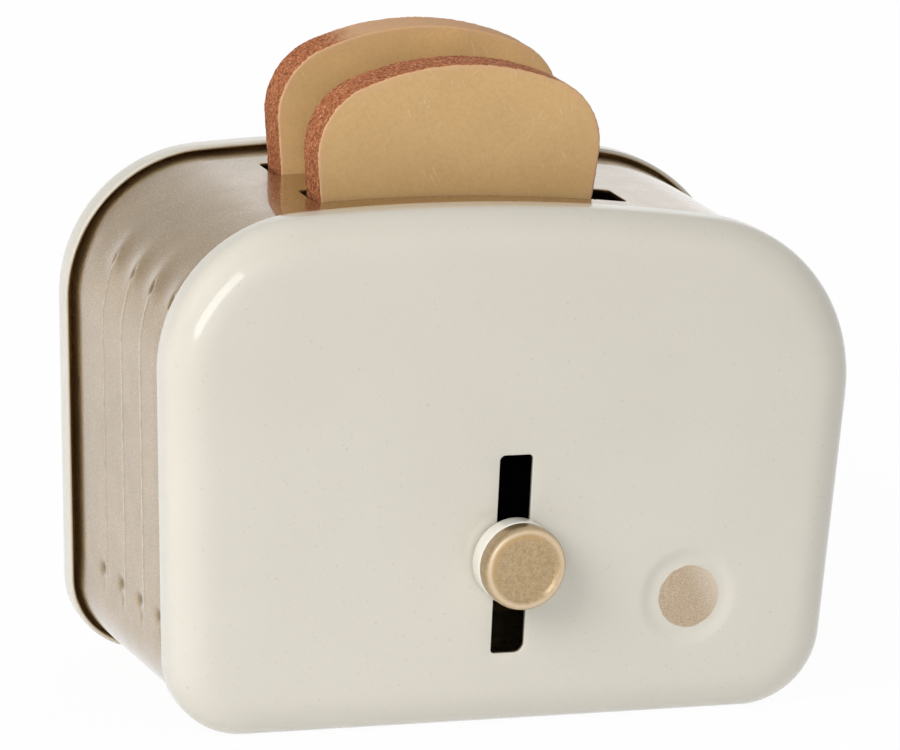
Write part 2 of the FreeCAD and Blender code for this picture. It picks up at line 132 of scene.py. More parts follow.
# Marks at the ends of each crease: heights, places, and spreads across and along it
SWELLING_RISE = 0.24 * MM
SWELLING_UP = 0.6 * MM
SWELLING_ACROSS = 1.05 * MM
SWELLING_ALONG = (1.7 * MM, 1.3 * MM)   # longer up the shoulder than down
SLIT_DEPTH = 0.30 * MM
SLIT_ACROSS = 0.16 * MM
SLIT_ALONG = 0.5 * MM
PIT_ASIDE = 1.35 * MM
PIT_DEPTH = 0.27 * MM
PIT_ACROSS = 0.4 * MM
PIT_ALONG = 0.45 * MM
LOW_PIT_ASIDE = 0.65 * MM
LOW_PIT_DROP = 1.3 * MM
LOW_PIT_DEPTH = 0.14 * MM
LOW_PIT_ACROSS = 0.2 * MM

# Bread slots and slices
BREAD_PITCH = 11.5 * MM
BREAD_SLOT_LEFT = BREAD_LOW.x - 0.1 * MM
BREAD_SLOT_RIGHT = BREAD_HIGH.x + 2.9 * MM
BREAD_SLOT_WIDTH = 5.1 * MM
BREAD_SLOT_CORNER = 0.5 * MM
BREAD_SLOT_EDGE = 0.06 * MM
SLICE_LEAN = math.radians(6.5)
SLICE_WIDTH = 27.7 * MM
SLICE_CROWN = 27.0 * MM
SLICE_SHOULDER = 7.0 * MM
SLICE_FOOT = 1.5 * MM
SLICE_SHIFT = (BREAD_LOW.x + BREAD_HIGH.x) / 2
SLICE_EDGE = 0.22 * MM
SLICE_TINT_WIDTH = 1.3 * MM   # the faces are tinted this far from their edge
CRUST_ROUGHNESS = 0.12 * MM
SLICE_HALF = (BREAD_HIGH.y - BREAD_LOW.y) / 2 / MM
FADE_FRONT = (5.0, 8.5)     # the crust fades to tan between these places across, in millimetres
FADE_BACK = (-12.8, -9.4)

# Mesh
OUTLINE_STEP = 0.7 * MM
FINE_STEP = 0.2 * MM        # where a crease ends
FACE_PITCH = 0.9 * MM
FACE_CLEAR = 0.45 * MM      # inner points stay this far from an edge
DIMPLE_STEP = 0.3 * MM
FILL_PITCH = 0.8 * MM
ROW_PITCH = 0.75 * MM
SLICE_STEP = 0.24 * MM
SLICE_ROW = 0.27 * MM
SLICE_PITCH = 1.0 * MM
CORNER_STEPS = 8
LATHE_TURNS = 120

# Colours
WHITE = (1, 1, 1, 1)
FLOOR_COLOUR = (0.9, 0.9, 0.89, 1)
ENAMEL_COLOUR = (0.60, 0.565, 0.485)
# paler enamel at the foot of the covers: painted light, lighter towards the bottom
ENAMEL_LIT_FOOT = (0.665, 0.63, 0.55)
COLLAR_CREAM = (0.76, 0.73, 0.66)
ENAMEL_SPECK = (0.48, 0.42, 0.32)
ENAMEL_GRAIN = (0.57, 0.54, 0.455)
LACQUER_COLOUR = (0.48, 0.335, 0.17)
LACQUER_DARK = (0.31, 0.20, 0.09)
LACQUER_SPARK = (0.70, 0.56, 0.38)
# painted highlight on the knob's crest
KNOB_CREST_HIGHLIGHT = (0.80, 0.64, 0.44)
# painted shade in the slits and pits at the ends of the band's creases
CREASE_END_SHADE_COLOUR = (0.10, 0.075, 0.045)
# painted amber reflection on the upper left of the knob's rim
AMBER_REFLECTION = (0.62, 0.40, 0.16)
# painted highlight along the band's creases
CREASE_HIGHLIGHT_COLOUR = (0.66, 0.59, 0.48)
DISC_COLOUR = (0.60, 0.47, 0.33)
DISC_DARK = (0.42, 0.31, 0.20)
# painted highlight on the upper right of the dimple's disc
DISC_HIGHLIGHT = (0.82, 0.74, 0.62)
INSIDE_COLOUR = (0.66, 0.54, 0.33)
INSIDE_DARK = (0.52, 0.41, 0.23)
BREAD_TAN = (0.62, 0.41, 0.185)
BREAD_TAN_LOW = (0.57, 0.37, 0.165)
BREAD_TAN_DARK = (0.50, 0.29, 0.12)
BREAD_PINK = (0.60, 0.35, 0.20)
BREAD_SCRATCH = (0.84, 0.69, 0.48)
# the back slice's tan is more orange, and also painted lighter as painted light against the shade of the
# front slice
BREAD_TAN_BACK_LIT = (0.70, 0.45, 0.20)
CRUST_COLOUR = (0.45, 0.155, 0.06)
CRUST_DARK = (0.17, 0.05, 0.02)
CRUST_PALE = (0.66, 0.32, 0.17)
CRUST_FADED = (0.60, 0.37, 0.21)
STEEL_COLOUR = (0.55, 0.54, 0.52)
STEEL_DARK = (0.42, 0.41, 0.39)
# painted shade: near-lightless black for the inner plate and washer seen through the lever slot
SLOT_SHADE_BLACK = (0.0008, 0.0008, 0.0008)
SLOT_SHADE_GREY = (0.0015, 0.0015, 0.0012)
NYLON_COLOUR = (0.72, 0.71, 0.66)
NYLON_DARK = (0.62, 0.60, 0.54)

# Light
WORLD_LEVEL = 0.32
FLOOR_WHITE = 0.96
ROOM_WHITE_BELOW = 0.10     # height less half the way right, for a direction of length one
ROOM_GREY_ABOVE = 0.5
ROOM_GREY = 0.62
FLOOR_REACH = 2.5

# Camera, in the frame's metres and degrees, with its lens in millimetres
CAMERA_PLACE = Vector((-0.27337, -0.70879, 0.22178))
CAMERA_YAW = math.radians(21.031)
CAMERA_PITCH = math.radians(14.123)
CAMERA_ROLL = math.radians(2.828)
CAMERA_LENS = 323.04


class Outline:
    """Closed outline of lines and arcs in the x-z plane, anticlockwise from the middle of the base."""

    def __init__(self, width, height, lean, crown, shift, left_shoulder, right_shoulder, foot):
        crown_centre = Vector((shift, height - crown))
        ends = []
        for side, shoulder in ((1, right_shoulder), (-1, left_shoulder)):
            up = Vector((side * math.sin(lean), math.cos(lean)))
            out = Vector((side * math.cos(lean), -math.sin(lean)))
            middle = Vector((side * width / 2, height / 2))
            start = middle - out * shoulder - crown_centre
            along = start.dot(up)
            climb = -along + math.sqrt(along ** 2 - start.dot(start) + (crown - shoulder) ** 2)
            top = middle - out * shoulder + up * climb
            base = middle - out * foot
            low = base + up * ((foot - base.y) / up.y)
            ends.append((out, top, low))
        (out_right, top_right, low_right), (out_left, top_left, low_left) = ends
        angle_right = self.angle(top_right - crown_centre)
        angle_left = self.angle(top_left - crown_centre)
        self.pieces = []
        self.line(Vector((0, 0)), Vector((low_right.x, 0)))
        self.arc(low_right, foot, -math.pi / 2, -lean)
        self.line(low_right + out_right * foot, top_right + out_right * right_shoulder)
        self.arc(top_right, right_shoulder, -lean, angle_right)
        self.crown_start = self.length()
        self.arc(crown_centre, crown, angle_right, angle_left)
        self.arc(top_left, left_shoulder, angle_left, math.pi + lean)
        self.line(top_left + out_left * left_shoulder, low_left + out_left * foot)
        self.arc(low_left, foot, math.pi + lean, 3 * math.pi / 2)
        self.line(Vector((low_left.x, 0)), Vector((0, 0)))
        self.crown = (crown_centre, crown, angle_right)

    @staticmethod
    def angle(v):
        return math.atan2(v.y, v.x)

    def length(self):
        return sum(piece[0] for piece in self.pieces)

    def line(self, start, end):
        self.pieces.append(((end - start).length, "line", start, (end - start).normalized()))

    def arc(self, centre, radius, first, last):
        self.pieces.append(((last - first) * radius, "arc", centre, radius, first))

    def at(self, u):
        """Point and outward normal at arc length u."""
        for piece in self.pieces:
            if u <= piece[0] or piece is self.pieces[-1]:
                break
            u -= piece[0]
        if piece[1] == "line":
            return piece[2] + piece[3] * u, Vector((piece[3].y, -piece[3].x))
        angle = piece[4] + u / piece[3]
        normal = Vector((math.cos(angle), math.sin(angle)))
        return piece[2] + normal * piece[3], normal

    def crown_u(self, x):
        """Arc length of the crown's point at x."""
        centre, radius, first = self.crown
        return self.crown_start + (math.acos((x - centre.x) / radius) - first) * radius

    def samples(self, step, fine=(), fine_step=None):
        """Arc lengths spread evenly over each piece, closer where the height is in a fine range."""
        result = []
        start = 0.0
        for piece in self.pieces:
            count = max(1, math.ceil(piece[0] / step))
            for number in range(count):
                low = start + piece[0] * number / count
                high = start + piece[0] * (number + 1) / count
                z = self.at((low + high) / 2)[0].y
                parts = 1
                if any(a <= z <= b for a, b in fine):
                    parts = math.ceil((high - low) / fine_step)
                result += [low + (high - low) * part / parts for part in range(parts)]
            start += piece[0]
        return result


BODY = Outline(WIDTH, HEIGHT, SIDE_LEAN, CROWN_RADIUS, CROWN_SHIFT,
               LEFT_SHOULDER, RIGHT_SHOULDER, FOOT_RADIUS)


def body_point(u, y, inset):
    """Point at a depth on the body's outline, moved in by inset."""
    point, normal = BODY.at(u)
    point = point - normal * inset
    return Vector((point.x, y, point.y))


def body_ring(samples, y, inset):
    return [body_point(u, y, inset) for u in samples]


def new_object(name, data):
    thing = bpy.data.objects.new(name, data)
    bpy.context.scene.collection.objects.link(thing)
    return thing


def new_mesh():
    """Empty mesh whose points can carry a shade, which the finishes read."""
    mesh = bmesh.new()
    mesh.verts.layers.float.new(SHADE)
    return mesh


def add_point(mesh, point, shade=0.0):
    vert = mesh.verts.new(point)
    vert[mesh.verts.layers.float[SHADE]] = shade
    return vert


def loft(mesh, rings, shades=None):
    """Bands of faces from each ring of points to the next, with one shade for each ring."""
    shades = shades or [0.0] * len(rings)
    rows = [[add_point(mesh, point, shade) for point in points] for points, shade in zip(rings, shades)]
    for first, second in zip(rows, rows[1:]):
        count = len(first)
        for number in range(count):
            after = (number + 1) % count
            mesh.faces.new((first[number], first[after], second[after], second[number]))


def fill(mesh, loops, inner, keep, place, shade=0.0):
    """Triangles between flat loops, with inner points, put in place by a function of two numbers."""
    flat = []
    edges = []
    for loop in loops:
        start = len(flat)
        flat += [Vector(point) for point in loop]
        edges += [(start + n, start + (n + 1) % len(loop)) for n in range(len(loop))]
    flat += [Vector(point) for point in inner]
    points, _, triangles, _, _, _ = delaunay_2d_cdt(flat, edges, [], 1, 1e-9)
    verts = [add_point(mesh, place(point.x, point.y), shade) for point in points]
    for triangle in triangles:
        centre = sum((points[corner] for corner in triangle), Vector((0, 0))) / 3
        if keep(centre):
            mesh.faces.new([verts[corner] for corner in triangle])


def finish(mesh, name, body, material, replaced):
    """Turns the mesh into a smooth closed piece that rides on a body."""
    loose = [vert for vert in mesh.verts if not vert.link_faces]
    bmesh.ops.delete(mesh, geom=loose, context="VERTS")
    bmesh.ops.remove_doubles(mesh, verts=mesh.verts, dist=1e-6)
    bmesh.ops.recalc_face_normals(mesh, faces=mesh.faces)
    for face in mesh.faces:
        face.smooth = True
    data = bpy.data.meshes.new(name)
    mesh.to_mesh(data)
    mesh.free()
    data.materials.append(material)
    piece = new_object(name, data)
    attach(piece, body)
    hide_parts(replaced)


def rounded_rectangle(x_low, x_high, z_low, z_high, corners, grow):
    """Anticlockwise loop from the lower left corner, grown outwards on every side."""
    spots = ((x_low, z_low, 1, 1), (x_high, z_low, -1, 1), (x_high, z_high, -1, -1), (x_low, z_high, 1, -1))
    arcs = []
    for quarter, ((x, z, right, up), radius) in enumerate(zip(spots, corners)):
        centre = Vector((x + right * radius, z + up * radius))
        arc = []
        for step in range(CORNER_STEPS + 1):
            angle = math.pi + math.pi / 2 * (quarter + step / CORNER_STEPS)
            arc.append(centre + (radius + grow) * Vector((math.cos(angle), math.sin(angle))))
        arcs.append(arc)
    loop = []
    lengths = (x_high - x_low, z_high - z_low) * 2
    for quarter, arc in enumerate(arcs):
        loop += arc
        following = arcs[(quarter + 1) % 4][0]
        parts = max(1, round(lengths[quarter] / FILL_PITCH))
        loop += [arc[-1].lerp(following, part / parts) for part in range(1, parts)]
    return loop


def rounded_edge(wide, deep, steps):
    """Inset and depth along a quarter turn, from the face to the side."""
    result = []
    for step in range(steps + 1):
        angle = math.pi / 2 * step / steps
        result.append((wide * (1 - math.sin(angle)), deep * (1 - math.cos(angle))))
    return result


def ease(share):
    share = min(1.0, max(0.0, share))
    return share * share * (3 - 2 * share)


def swell(distance, spread):
    return math.exp(-(distance / spread) ** 2 / 2)


def dome(x, z):
    """How far the face falls back towards its edges."""
    half = WIDTH / 2 + (z - HEIGHT / 2) * math.tan(SIDE_LEAN)
    crown = HEIGHT - (x - CROWN_SHIFT) ** 2 / (2 * CROWN_RADIUS)
    total = 0.0
    for inside, width in ((half - abs(x), DOME_WIDTH), (crown - z, DOME_WIDTH), (z, DOME_BASE_WIDTH)):
        total += max(0.0, 1 - inside / width) ** 2
    return DOME_DROP * total


def dimple(x, z):
    """Shallow moat with a slightly raised middle."""
    r = math.hypot(x - DIMPLE_X, z - DIMPLE_Z)
    if r >= DIMPLE_RIM:
        return 0.0
    if r >= DIMPLE_MOAT:
        turn = math.pi * (r - DIMPLE_MOAT) / (DIMPLE_RIM - DIMPLE_MOAT)
        return DIMPLE_MOAT_DEPTH * (1 + math.cos(turn)) / 2
    lift = (DIMPLE_MOAT_DEPTH - DIMPLE_MIDDLE_DEPTH) / 2
    return DIMPLE_MOAT_DEPTH - lift - lift * math.cos(math.pi * r / DIMPLE_MOAT)


def cover_profile():
    """Inset, depth, share of the dome and shade, from the face over the skirt and its rim to the inside."""
    half = COVER_SHEET / 2
    flat = (FACE_INSET, 5.6 * MM, 4.7 * MM)
    turns = 12
    rows = [(inset, 0, 1, 0) for inset in flat]
    rows += [(inset, depth, 1, 0) for inset, depth in rounded_edge(FACE_TURN_WIDE, FACE_TURN_DEEP, turns)]
    rows.append((0, SKIRT * 0.8, 0.3, 0))
    for step in range(9):
        angle = math.pi * step / 8
        rows.append((half - half * math.cos(angle), SKIRT - half + half * math.sin(angle), 0,
                     ease((step - 3) / 4)))
    rows.append((COVER_SHEET, SKIRT * 0.8, 0.3, 1))
    inside = rounded_edge(FACE_TURN_WIDE - COVER_SHEET, FACE_TURN_DEEP - COVER_SHEET, turns)
    rows += [(COVER_SHEET + inset, COVER_SHEET + depth, 1, 1) for inset, depth in reversed(inside)]
    rows += [(inset, COVER_SHEET, 1, 1) for inset in reversed(flat)]
    return rows


def face_grid(inset, clear):
    """Inner points of a face, away from its edge and from what clear names."""
    points = []
    for i in range(int(WIDTH / FACE_PITCH) + 1):
        for k in range(int(HEIGHT / FACE_PITCH) + 1):
            x = -WIDTH / 2 + i * FACE_PITCH
            z = k * FACE_PITCH
            half = WIDTH / 2 + (z - HEIGHT / 2) * math.tan(SIDE_LEAN) - inset
            within = abs(x) <= half and z >= inset and inside_body(x, z, inset)
            if within and clear(x, z):
                points.append((x, z))
    return points


def inside_body(x, z, inset):
    """True where a point lies inside the body's outline moved in by inset."""
    point = Vector((x, z))
    for piece in BODY.pieces:
        if piece[1] == "arc":
            across = point - piece[2]
            first = piece[4]
            last = first + piece[0] / piece[3]
            angle = math.atan2(across.y, across.x)
            for turn in (angle, angle + 2 * math.pi):
                if first <= turn <= last and across.length > piece[3] - inset:
                    return False
    return True


def make_cover(name, node, face_y, inward, pressed, material):
    """Pressed shell with a rounded rim. The pressed one has the lever slot and the dimple."""
    mesh = new_mesh()
    samples = BODY.samples(OUTLINE_STEP)
    profile = cover_profile()
    rings = []
    for inset, depth, share, _ in profile:
        ring = body_ring(samples, 0.0, inset)
        for point in ring:
            point.y = face_y + inward * (depth + share * dome(point.x, point.z))
        rings.append(ring)
    loft(mesh, rings, [row[3] for row in profile])
    edge = [Vector((p.x, p.z)) for p in rings[0]]

    def clear(x, z):
        by_slot = abs(x) < SLOT_HALF + FACE_CLEAR and SLOT_LOW - FACE_CLEAR < z < SLOT_HIGH + FACE_CLEAR
        by_dimple = math.hypot(x - DIMPLE_X, z - DIMPLE_Z) < DIMPLE_RIM + 2 * FACE_CLEAR
        return not (pressed and (by_slot or by_dimple))

    inner = face_grid(FACE_INSET + FACE_CLEAR, clear)
    if pressed:
        inner += dimple_points()

    def surface(depth):
        return lambda x, z: Vector((x, face_y + inward * (depth + dome(x, z) + pressed * dimple(x, z)), z))

    for shade, (depth, grow) in enumerate(((0, SLOT_EDGE), (COVER_SHEET, 0))):
        hole = slot_loop(grow)
        loops = [edge] + ([hole] if pressed else [])
        fill(mesh, loops, inner, lambda c: not (pressed and in_loop(c, hole)), surface(depth), shade)
    if pressed:
        wall = rounded_edge(SLOT_EDGE, SLOT_EDGE, 4) + [(0, COVER_SHEET)]
        loft(mesh, [[surface(depth)(p.x, p.y) for p in slot_loop(grow)] for grow, depth in wall])
    finish(mesh, name, "housing", material, node)


def slot_loop(grow):
    return rounded_rectangle(-SLOT_HALF, SLOT_HALF, SLOT_LOW, SLOT_HIGH, SLOT_CORNERS, grow)


def in_loop(point, loop):
    """True where a point lies inside a closed loop."""
    inside = False
    for a, b in zip(loop, loop[1:] + loop[:1]):
        if (a.y > point.y) != (b.y > point.y):
            cross = a.x + (point.y - a.y) / (b.y - a.y) * (b.x - a.x)
            if point.x < cross:
                inside = not inside
    return inside


def points_inside(loop, pitch):
    """Even grid of points inside a loop, clear of its edge."""
    xs = [point.x for point in loop]
    ys = [point.y for point in loop]
    points = []
    for i in range(1, int((max(xs) - min(xs)) / pitch)):
        for k in range(1, int((max(ys) - min(ys)) / pitch)):
            point = Vector((min(xs) + i * pitch, min(ys) + k * pitch))
            clear = [(point - other).length > 0.4 * pitch for other in loop]
            if all(clear) and in_loop(point, loop):
                points.append(point)
    return points


def dimple_points():
    """Rings of points round the middle of the dimple."""
    points = [(DIMPLE_X, DIMPLE_Z)]
    count = math.ceil(DIMPLE_RIM / DIMPLE_STEP) + 1
    for number in range(1, count + 1):
        radius = number * DIMPLE_STEP
        around = max(6, round(2 * math.pi * radius / DIMPLE_STEP))
        for turn in range(around):
            angle = 2 * math.pi * (turn + 0.5 * (number % 2)) / around
            points.append((DIMPLE_X + radius * math.cos(angle), DIMPLE_Z + radius * math.sin(angle)))
    return points


def crease_ys():
    return [FRONT_Y + CREASE_FIRST + number * CREASE_PITCH for number in range(CREASE_COUNT)]


def arc_length_at(height, left):
    """Arc length where one side of the outline passes a height."""
    low, high = (BODY.crown_start, BODY.length()) if left else (0.0, BODY.crown_start)
    for _ in range(40):
        middle = (low + high) / 2
        above = BODY.at(middle)[0].y > height
        if above == left:
            low = middle
        else:
            high = middle
    return (low + high) / 2


CREASE_TOPS = (arc_length_at(CREASE_HIGH, False), arc_length_at(CREASE_HIGH, True))
CREASE_FEET = (arc_length_at(CREASE_LOW, False), arc_length_at(CREASE_LOW, True))


def past_ends(u):
    """How far a place lies above the upper ends and below the lower ends of the creases."""
    if u > (CREASE_TOPS[0] + CREASE_TOPS[1]) / 2:
        return CREASE_TOPS[1] - u, u - CREASE_FEET[1]
    return u - CREASE_TOPS[0], CREASE_FEET[0] - u


def along_crease(above, below):
    """One beside the creases, easing to zero past their ends."""
    return ease(0.5 - above / CREASE_FADE) * ease(0.5 - below / CREASE_FADE)


def relief(u, y):
    """How far the band stands out from its plain outline."""
    above, below = past_ends(u)
    if above > MARKS_ABOVE or below > MARKS_BELOW:
        return 0.0
    from_end = min(y - BAND_LOW.y, BAND_HIGH.y - y)
    side = ease((4 * MM - above) / (5 * MM)) * ease((5 * MM - below) / (5 * MM))
    rolled = min(1.0, max(0.0, (ROLL_WIDTH - from_end) / (ROLL_WIDTH - ROLL_HIDDEN)))
    total = -ROLL_DROP * side * rolled ** 1.3
    running = along_crease(above, below)
    for number, crease_y in enumerate(crease_ys()):
        across = y - crease_y
        if abs(across) > CREASE_PITCH:
            continue
        fainter = 1 - 0.2 * number
        total += CREASE_RISE * running * swell(across, CREASE_SPREAD)
        total += crease_top(across, above, fainter) + crease_foot(across, below, fainter)
    return total


def crease_light_and_shade(u, y):
    """Painted highlight along the creases where positive, and painted shade in the slits and pits where
    negative.
    """
    above, below = past_ends(u)
    crease_highlight = along_crease(above, below) * max(swell(y - crease_y, CREASE_SPREAD) for crease_y in crease_ys())
    crease_end_shade = 0.0
    for number, crease_y in enumerate(crease_ys()):
        across = y - crease_y
        slit = (1 - 0.3 * number) * swell(across, 0.13 * MM) * swell(above, 0.45 * MM)
        pit = swell(across - PIT_ASIDE + 0.15 * MM, 0.42 * MM) * swell(below + 0.3 * MM, 0.45 * MM)
        crease_end_shade = max(crease_end_shade, slit, 0.85 * pit)
    return crease_highlight * (1 - crease_end_shade) - crease_end_shade


def crease_top(across, above, strength):
    """Swelling that trails up the shoulder from the end of a crease, with a slit in it."""
    if above < -7 * MM:
        return 0.0
    along = above - SWELLING_UP
    longer, shorter = SWELLING_ALONG
    soft = SWELLING_RISE * swell(across, SWELLING_ACROSS) * swell(along, longer if along > 0 else shorter)
    slit = SLIT_DEPTH * strength * swell(across, SLIT_ACROSS) * swell(above, SLIT_ALONG)
    return soft - slit


def crease_foot(across, below, strength):
    """Pressed pit behind the lower end of a crease, with a smaller one under it."""
    if below < -4 * MM:
        return 0.0
    pit = PIT_DEPTH * swell(across - PIT_ASIDE, PIT_ACROSS) * swell(below + 0.2 * MM, PIT_ALONG)
    under = swell(across - LOW_PIT_ASIDE, LOW_PIT_ACROSS) * swell(below - LOW_PIT_DROP, PIT_ALONG)
    return -pit - LOW_PIT_DEPTH * strength * under


def band_rows():
    """Depths of the band's rows, close together where a crease or a pit is."""
    start = BAND_LOW.y + BAND_SHEET
    end = BAND_HIGH.y - BAND_SHEET
    rows = {start, end}
    for crease_y in crease_ys():
        for step in range(-7, 8):
            rows.add(crease_y + math.copysign((step / 7) ** 2, step) * 0.5 * MM)
        for step in range(1, 10):
            rows.add(crease_y + (0.5 + 0.19 * step) * MM)
    ordered = sorted(row for row in rows if start <= row <= end)
    result = [ordered[0]]
    for row in ordered[1:]:
        parts = max(1, math.ceil((row - result[-1]) / ROW_PITCH))
        last = result[-1]
        result += [last + (row - last) * part / parts for part in range(1, parts + 1)]
    return result


def bread_slot_ys():
    return (MIDDLE_Y - BREAD_PITCH / 2, MIDDLE_Y + BREAD_PITCH / 2)


def bread_slot_loops(grow):
    """The two bread slots in arc length and depth."""
    loops = []
    for y in bread_slot_ys():
        loop = rounded_rectangle(BREAD_SLOT_LEFT, BREAD_SLOT_RIGHT, y - BREAD_SLOT_WIDTH / 2,
                                 y + BREAD_SLOT_WIDTH / 2, (BREAD_SLOT_CORNER,) * 4, grow)
        loops.append([Vector((BODY.crown_u(p.x), p.y)) for p in loop])
    return loops


def wrapped_sheet(mesh, samples, rows, window, loops, place, shade):
    """Sheet of quads round the body, with triangles round the bread slots in its window."""
    first, last = window
    count = len(samples)
    ends = (0, len(rows) - 1)
    grid = []
    for number, y in enumerate(rows):
        grid.append([add_point(mesh, place(u, y), shade(u, y)) if number in ends or not first < k < last
                     else None for k, u in enumerate(samples)])
    for low, high in zip(grid, grid[1:]):
        for k in range(count):
            if not first <= k < last:
                after = (k + 1) % count
                mesh.faces.new((low[k], low[after], high[after], high[k]))
    edge = [Vector((samples[k], rows[0])) for k in range(first, last)]
    edge += [Vector((samples[last], y)) for y in rows[:-1]]
    edge += [Vector((samples[k], rows[-1])) for k in range(last, first, -1)]
    edge += [Vector((samples[first], y)) for y in reversed(rows[1:])]
    inner = []
    if len(rows) > 2:
        for i in range(1, int((samples[last] - samples[first]) / FILL_PITCH)):
            for k in range(1, int((rows[-1] - rows[0]) / FILL_PITCH)):
                point = Vector((samples[first] + i * FILL_PITCH, rows[0] + k * FILL_PITCH))
                if not any(in_loop(point, loop) for loop in loops):
                    inner.append(point)
    fill(mesh, [edge] + loops, inner, lambda c: not any(in_loop(c, loop) for loop in loops), place)


def make_band(material):
    """Sheet wrapped round the body, flanged inside the covers, with creases and bread slots."""
    mesh = new_mesh()
    fine = ((CREASE_LOW - 2.5 * MM, CREASE_LOW + 1.5 * MM), (CREASE_HIGH - 2.5 * MM, CREASE_HIGH + 2 * MM))
    samples = BODY.samples(OUTLINE_STEP, fine, FINE_STEP)
    margin = 1.5 * MM
    first = max(k for k, u in enumerate(samples) if u < BODY.crown_u(BREAD_SLOT_RIGHT + margin))
    last = min(k for k, u in enumerate(samples) if u > BODY.crown_u(BREAD_SLOT_LEFT - margin))
    rows = band_rows()
    inner = BAND_INSET + BAND_SHEET
    # The outer sheet's points carry the painted highlight along the creases and the painted shade at their
    # ends.
    wrapped_sheet(mesh, samples, rows, (first, last), bread_slot_loops(BREAD_SLOT_EDGE),
                  lambda u, y: body_point(u, y, BAND_INSET - relief(u, y)), crease_light_and_shade)
    wrapped_sheet(mesh, samples, [BAND_LOW.y, BAND_HIGH.y], (first, last), bread_slot_loops(0),
                  lambda u, y: body_point(u, y, inner), lambda u, y: 0.0)
    for row, end in ((rows[0], BAND_LOW.y), (rows[-1], BAND_HIGH.y)):
        loft(mesh, [[body_point(u, row, BAND_INSET - relief(u, row)) for u in samples],
                    body_ring(samples, row, FLANGE_INSET),
                    body_ring(samples, end, FLANGE_INSET),
                    body_ring(samples, end, inner)])
    for number in range(2):
        edge = rounded_edge(BREAD_SLOT_EDGE, BREAD_SLOT_EDGE, 3)
        wall = [(grow, BAND_INSET + depth) for grow, depth in edge] + [(0, inner)]
        loft(mesh, [[body_point(p.x, p.y, inset) for p in bread_slot_loops(grow)[number]]
                    for grow, inset in wall])
    finish(mesh, "body_band_sheet", "housing", material, "body_band")


def crust_depth(point):
    """Rough inward relief of the crust edge."""
    fine = noise.noise(point / (0.32 * MM))
    coarse = noise.noise(point / (1.3 * MM))
    return CRUST_ROUGHNESS * (0.5 + 0.5 * fine) + 0.05 * MM * (0.5 + 0.5 * coarse)


def make_slice(name, node, body, material):
    """Bread slice with smooth faces and a rough crust round its edge."""
    low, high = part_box(node)
    height = high.z - low.z
    outline = Outline(SLICE_WIDTH, height, SLICE_LEAN, SLICE_CROWN, 0.0,
                      SLICE_SHOULDER, SLICE_SHOULDER, SLICE_FOOT)
    samples = outline.samples(SLICE_STEP)
    mesh = new_mesh()
    front = [(SLICE_TINT_WIDTH, 0), (0.85 * MM, 0), (0.45 * MM, 0)] + rounded_edge(SLICE_EDGE, SLICE_EDGE, 4)
    straight = high.y - low.y - 2 * SLICE_EDGE
    count = math.ceil(straight / SLICE_ROW)
    profile = front + [(0, SLICE_EDGE + straight * step / count) for step in range(1, count)]
    profile += [(inset, high.y - low.y - depth) for inset, depth in reversed(front)]
    rings = []
    for number, (inset, depth) in enumerate(profile):
        rough = 3 <= number < len(profile) - 3
        ring = []
        for u in samples:
            point, normal = outline.at(u)
            place = Vector((point.x + SLICE_SHIFT, low.y + depth, point.y + low.z))
            extra = crust_depth(place) if rough else 0.0
            shift = normal * (inset + extra)
            ring.append(place - Vector((shift.x, 0, shift.y)))
        rings.append(ring)
    loft(mesh, rings, [1 - min(1.0, inset / SLICE_TINT_WIDTH) for inset, depth in profile])
    for ring in (rings[0], rings[-1]):
        y = ring[0].y
        edge = [Vector((p.x, p.z)) for p in ring]
        fill(mesh, [edge], points_inside(edge, SLICE_PITCH), lambda c: True,
             lambda x, z, y=y: Vector((x, y, z)))
    finish(mesh, name, body, material, node)


def lathe(profile):
    """Solid turned about the lever's axis, from pairs of radius and depth."""
    mesh = new_mesh()
    rings = []
    angles = [2 * math.pi * turn / LATHE_TURNS for turn in range(LATHE_TURNS)]
    for radius, y in profile:
        rings.append([Vector((radius * math.cos(a), y, LEVER_Z + radius * math.sin(a))) for a in angles])
    loft(mesh, rings + [rings[0]])
    return mesh


def turned_arc(centre_radius, centre_y, radius, first, last, steps):
    """Arc of a lathe profile, angles in degrees from straight out towards the back."""
    result = []
    for step in range(steps + 1):
        angle = math.radians(first + (last - first) * step / steps)
        result.append((centre_radius + radius * math.cos(angle), centre_y + radius * math.sin(angle)))
    return result


def make_knob(material):
    """Cap with a raised rounded rim round a flat middle, bored for the stem."""
    front = KNOB_LOW.y
    back = KNOB_HIGH.y
    radius = (KNOB_HIGH.x - KNOB_LOW.x) / 2
    profile = [(0, front + KNOB_DISH), (1.5 * MM, front + KNOB_DISH), (2.4 * MM, front + KNOB_DISH)]
    for step in range(1, 13):
        share = step / 12
        profile.append((KNOB_FLAT + (radius - KNOB_ROUND - KNOB_FLAT) * share,
                        front + KNOB_DISH * (1 - ease(share))))
    profile += turned_arc(radius - KNOB_ROUND, front + KNOB_ROUND, KNOB_ROUND, -90, 0, 10)[1:]
    profile += turned_arc(radius - KNOB_BACK_ROUND, back - KNOB_BACK_ROUND, KNOB_BACK_ROUND, 0, 90, 5)
    profile += [(STEM_RADIUS, back), (STEM_RADIUS, back - STEM_IN_KNOB), (0, back - STEM_IN_KNOB)]
    finish(lathe(profile), "knob_cap", "carriage", material, "lever_knob")


def make_collar(material):
    """Round spacer between the knob and the cover."""
    front = COLLAR_LOW.y
    back = COLLAR_HIGH.y
    radius = (COLLAR_HIGH.x - COLLAR_LOW.x) / 2
    turn = COLLAR_ROUND
    profile = [(STEM_RADIUS, front), (COLLAR_FLAT, front)]
    profile += turned_arc(radius - turn, front + turn, turn, -90, 0, 5)
    profile += turned_arc(radius - turn, back - turn, turn, 0, 90, 5)
    profile += [(COLLAR_FLAT, back), (STEM_RADIUS, back)]
    finish(lathe(profile), "collar_ring", "carriage", material, "knob_collar")


